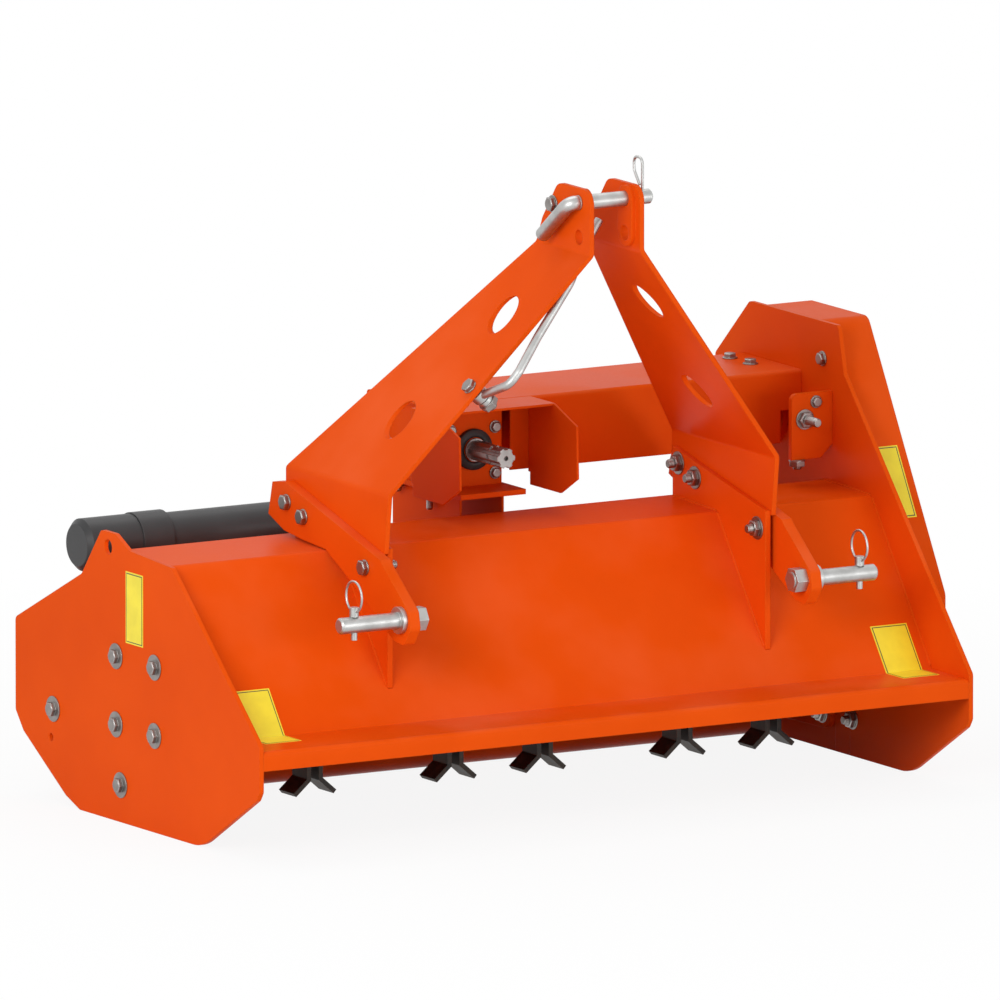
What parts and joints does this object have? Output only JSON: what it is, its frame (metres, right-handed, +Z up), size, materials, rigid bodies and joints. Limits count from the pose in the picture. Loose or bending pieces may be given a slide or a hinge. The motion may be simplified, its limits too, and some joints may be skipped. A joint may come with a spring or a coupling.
{
  "type": "three-point flail mulcher",
  "caption": "Rear-mounted flail mulcher with a bent-sheet hood, three-point headstock, splined driveshaft stub, side belt drive, Y-flail rotor and rear roller",
  "frame": {"origin": "on the ground, under the middle of the whole machine's box", "axes": "+X along the rotor towards the belt guard, +Y to the rear, away from the tractor, +Z up"},
  "size_m": [1.488, 0.842, 1.1295],
  "materials": {
    "orange_paint": "gloss orange paint",
    "zinc": "bright zinc",
    "casting": "cast, painted",
    "bright_steel": "machined",
    "flail_steel": "forged, dark",
    "black_plastic": "moulded black plastic"
  },
  "bodies": {
    "frame": {"deck": "orange_paint", "side_plate_left": "orange_paint", "side_plate_right": "orange_paint", "belt_guard": "orange_paint", "hitch_gusset_left": "orange_paint", "hitch_gusset_right": "orange_paint", "hitch_lug_left": "orange_paint", "hitch_lug_right": "orange_paint", "headstock_arm_left": "orange_paint", "headstock_arm_right": "orange_paint", "gearbox_pedestal": "orange_paint", "drive_tube": "orange_paint", "drive_cover": "orange_paint", "pto_guard": "orange_paint", "tension_bracket": "orange_paint", "gearbox": "orange_paint", "rotor_slot_strip": "orange_paint", "roller_arm_left": "orange_paint", "roller_arm_right": "orange_paint", "lower_pin_left": "zinc", "lower_pin_right": "zinc", "linch_pin_left": "zinc", "linch_pin_right": "zinc", "top_link_pin": "zinc", "top_link_clip": "zinc", "rest_stud": "zinc", "rotor_bearing_left": "casting", "rotor_bearing_right": "casting", "manual_tube": "black_plastic", "manual_tube_cap": "black_plastic", "tube_clamp_left": "black_plastic", "tube_clamp_right": "black_plastic"},
    "rotor_body": {"rotor": "orange_paint", "flails": "flail_steel"},
    "roller_body": {"roller": "orange_paint"},
    "pto_body": {"pto_stub": "bright_steel"},
    "rest_body": {"driveshaft_rest": "zinc"}
  },
  "joints": [
    {"name": "rotor_spin", "type": "hinge", "parent": "frame", "child": "rotor_body", "pos_m": [-0.044, -0.004, 0.2245], "axis": [-1, 0, 0], "continuous": true},
    {"name": "roller_spin", "type": "hinge", "parent": "frame", "child": "roller_body", "pos_m": [-0.044, 0.249, 0.06], "axis": [1, 0, 0], "continuous": true},
    {"name": "pto_spin", "type": "hinge", "parent": "frame", "child": "pto_body", "pos_m": [-0.007, 0.079, 0.564], "axis": [0, -1, 0], "continuous": true},
    {"name": "rest_swing", "type": "hinge", "parent": "frame", "child": "rest_body", "pos_m": [-0.24549, -0.3, 0.74079], "axis": [0.7681, 0, -0.6404], "range_deg": [0, 95]}
  ],
  "couplings": [
    {"joint": "pto_spin", "follows": "rotor_spin", "ratio": 0.25}
  ]
}
